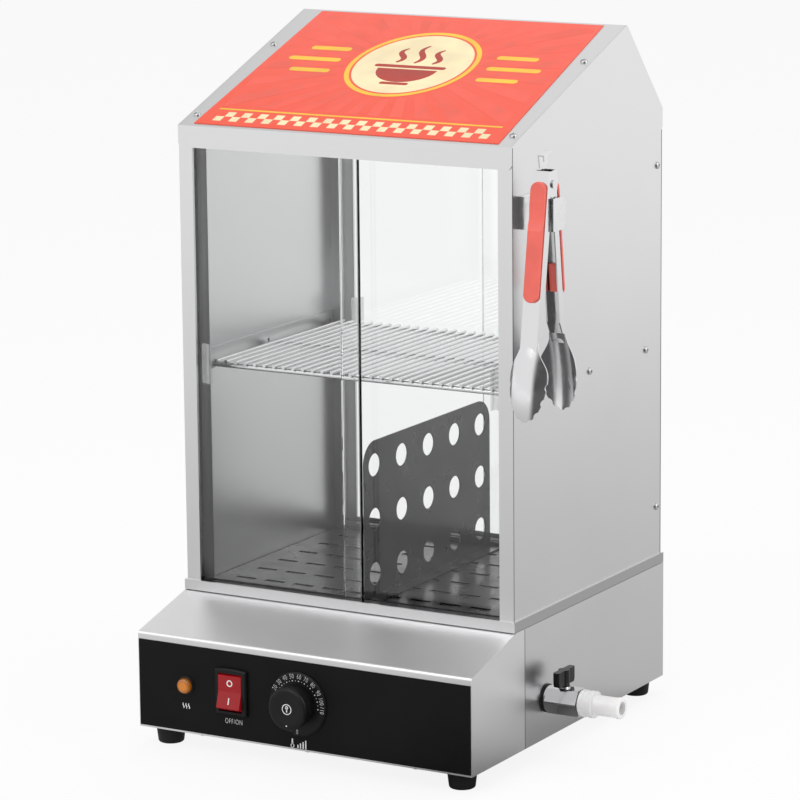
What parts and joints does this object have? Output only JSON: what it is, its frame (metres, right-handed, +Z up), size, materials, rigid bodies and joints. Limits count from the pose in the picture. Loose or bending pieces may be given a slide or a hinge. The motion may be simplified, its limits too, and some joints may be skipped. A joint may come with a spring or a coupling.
{
  "type": "hot dog steamer",
  "caption": "Countertop hot dog steamer: stainless base with water bath, control panel and drain valve under a glazed cabinet with sliding doors, bun rack, divider and hanging tongs",
  "frame": {"origin": "middle of the footprint of the whole steamer, with its tap and knob, on the plane under its feet", "axes": "+X to the right seen from the front, +Y to the back, +Z up; the controls face -Y"},
  "size_m": [0.3698, 0.3648, 0.5645],
  "materials": {
    "stainless_steel": "brushed stainless sheet",
    "bright_screws": "bright pan heads",
    "black_rubber": "matt black rubber",
    "black_overlay": "printed black film",
    "black_plastic": "satin black moulding",
    "dark_plastic": "dark grey moulding",
    "amber_lens": "translucent amber",
    "red_rocker": "translucent red",
    "steel_works": "plain steel",
    "copper": "drawn copper",
    "white_plastic": "white nylon",
    "chrome": "polished plating",
    "dark_tray": "dark coated sheet",
    "red_sign": "coral red print",
    "red_grip": "soft red rubber",
    "door_glass": "clear glass, polished edges",
    "clear_plastic": "clear acrylic"
  },
  "bodies": {
    "base": {"base_wrap": "stainless_steel", "control_box": "stainless_steel", "bottom_plate": "stainless_steel", "control_panel": "black_overlay", "base_screws": "bright_screws", "rubber_feet": "black_rubber", "lamp_body": "black_plastic", "lamp_lens": "amber_lens", "switch_housing": "black_plastic", "dial_disc": "black_plastic", "thermostat_body": "steel_works", "water_tank": "stainless_steel", "heating_element": "steel_works", "sensor_bulb": "copper", "overheat_cutout": "dark_plastic", "terminal_block": "white_plastic", "cord_gland": "dark_plastic", "drain_gasket": "black_rubber", "valve_body": "chrome", "hose_connector": "white_plastic"},
    "switch_rocker": {"rocker": "red_rocker"},
    "temperature_knob": {"knob": "black_plastic", "thermostat_shaft": "steel_works"},
    "drain_handle": {"valve_handle": "black_plastic", "valve_ball": "chrome"},
    "steam_tray": {"hot_dog_tray": "dark_tray"},
    "divider": {"partition": "dark_tray"},
    "cabinet": {"side_panel_left": "stainless_steel", "side_panel_right": "stainless_steel", "roof_front": "stainless_steel", "roof_rear": "stainless_steel", "sign_panel": "red_sign", "front_left_post": "stainless_steel", "front_right_post": "stainless_steel", "rear_left_post": "stainless_steel", "rear_right_post": "stainless_steel", "cabinet_ring": "stainless_steel", "front_sill_track": "dark_plastic", "front_head_track": "dark_plastic", "rear_sill_track": "dark_plastic", "rear_head_track": "dark_plastic", "rack_bracket_left": "stainless_steel", "rack_bracket_right": "stainless_steel", "cabinet_screws": "bright_screws", "tong_holder": "stainless_steel"},
    "bun_rack": {"wire_rack": "chrome"},
    "front_left_slider": {"front_left_door": "door_glass", "front_left_pull": "clear_plastic"},
    "front_right_slider": {"front_right_door": "door_glass", "front_right_pull": "clear_plastic"},
    "rear_left_slider": {"rear_left_door": "door_glass", "rear_left_pull": "clear_plastic"},
    "rear_right_slider": {"rear_right_door": "door_glass", "rear_right_pull": "clear_plastic"},
    "tongs": {"tong_pin": "stainless_steel"},
    "tong_front_jaw": {"tong_arm_front": "stainless_steel", "tong_grip_front": "red_grip"},
    "tong_rear_jaw": {"tong_arm_rear": "stainless_steel", "tong_grip_rear": "red_grip"},
    "tong_lock": {"tong_pull_tab": "stainless_steel"}
  },
  "joints": [
    {"name": "cabinet_lift", "type": "slide", "parent": "base", "child": "cabinet", "axis": [0, 0, 1], "range_m": [0, 0.2]},
    {"name": "front_left_slide", "type": "slide", "parent": "cabinet", "child": "front_left_slider", "axis": [1, 0, 0], "range_m": [0, 0.136]},
    {"name": "front_right_slide", "type": "slide", "parent": "cabinet", "child": "front_right_slider", "axis": [-1, 0, 0], "range_m": [0, 0.136]},
    {"name": "rear_left_slide", "type": "slide", "parent": "cabinet", "child": "rear_left_slider", "axis": [1, 0, 0], "range_m": [0, 0.136]},
    {"name": "rear_right_slide", "type": "slide", "parent": "cabinet", "child": "rear_right_slider", "axis": [-1, 0, 0], "range_m": [0, 0.136]},
    {"name": "rocker_throw", "type": "hinge", "parent": "base", "child": "switch_rocker", "pos_m": [-0.09665, -0.1619, 0.0541], "axis": [1, 0, 0], "range_deg": [0, 16]},
    {"name": "knob_turn", "type": "hinge", "parent": "base", "child": "temperature_knob", "pos_m": [-0.03565, -0.1824, 0.0526], "axis": [0, 1, 0], "range_deg": [0, 274]},
    {"name": "drain_turn", "type": "hinge", "parent": "base", "child": "drain_handle", "pos_m": [0.13365, -0.0399, 0.0471], "axis": [0, 0, 1], "range_deg": [0, 90]},
    {"name": "tray_lift", "type": "slide", "parent": "base", "child": "steam_tray", "axis": [0, 0, 1], "range_m": [0, 0.025]},
    {"name": "divider_lift", "type": "slide", "parent": "steam_tray", "child": "divider", "axis": [0, 0, 1], "range_m": [0, 0.025]},
    {"name": "rack_lift", "type": "slide", "parent": "cabinet", "child": "bun_rack", "axis": [0, 0, 1], "range_m": [0, 0.1]},
    {"name": "tongs_lift", "type": "slide", "parent": "cabinet", "child": "tongs", "axis": [0, 0, 1], "range_m": [0, 0.06]},
    {"name": "front_jaw_swing", "type": "hinge", "parent": "tongs", "child": "tong_front_jaw", "pos_m": [0.13785, -0.0782, 0.4632], "axis": [-1, 0, 0], "range_deg": [-2, 10]},
    {"name": "rear_jaw_swing", "type": "hinge", "parent": "tongs", "child": "tong_rear_jaw", "pos_m": [0.13785, -0.0782, 0.4632], "axis": [1, 0, 0], "range_deg": [-2, 10]},
    {"name": "tong_lock_slide", "type": "slide", "parent": "tongs", "child": "tong_lock", "axis": [0, 0, 1], "range_m": [0, 0.006]}
  ],
  "couplings": [
    {"joint": "rear_jaw_swing", "follows": "front_jaw_swing", "ratio": 1}
  ]
}
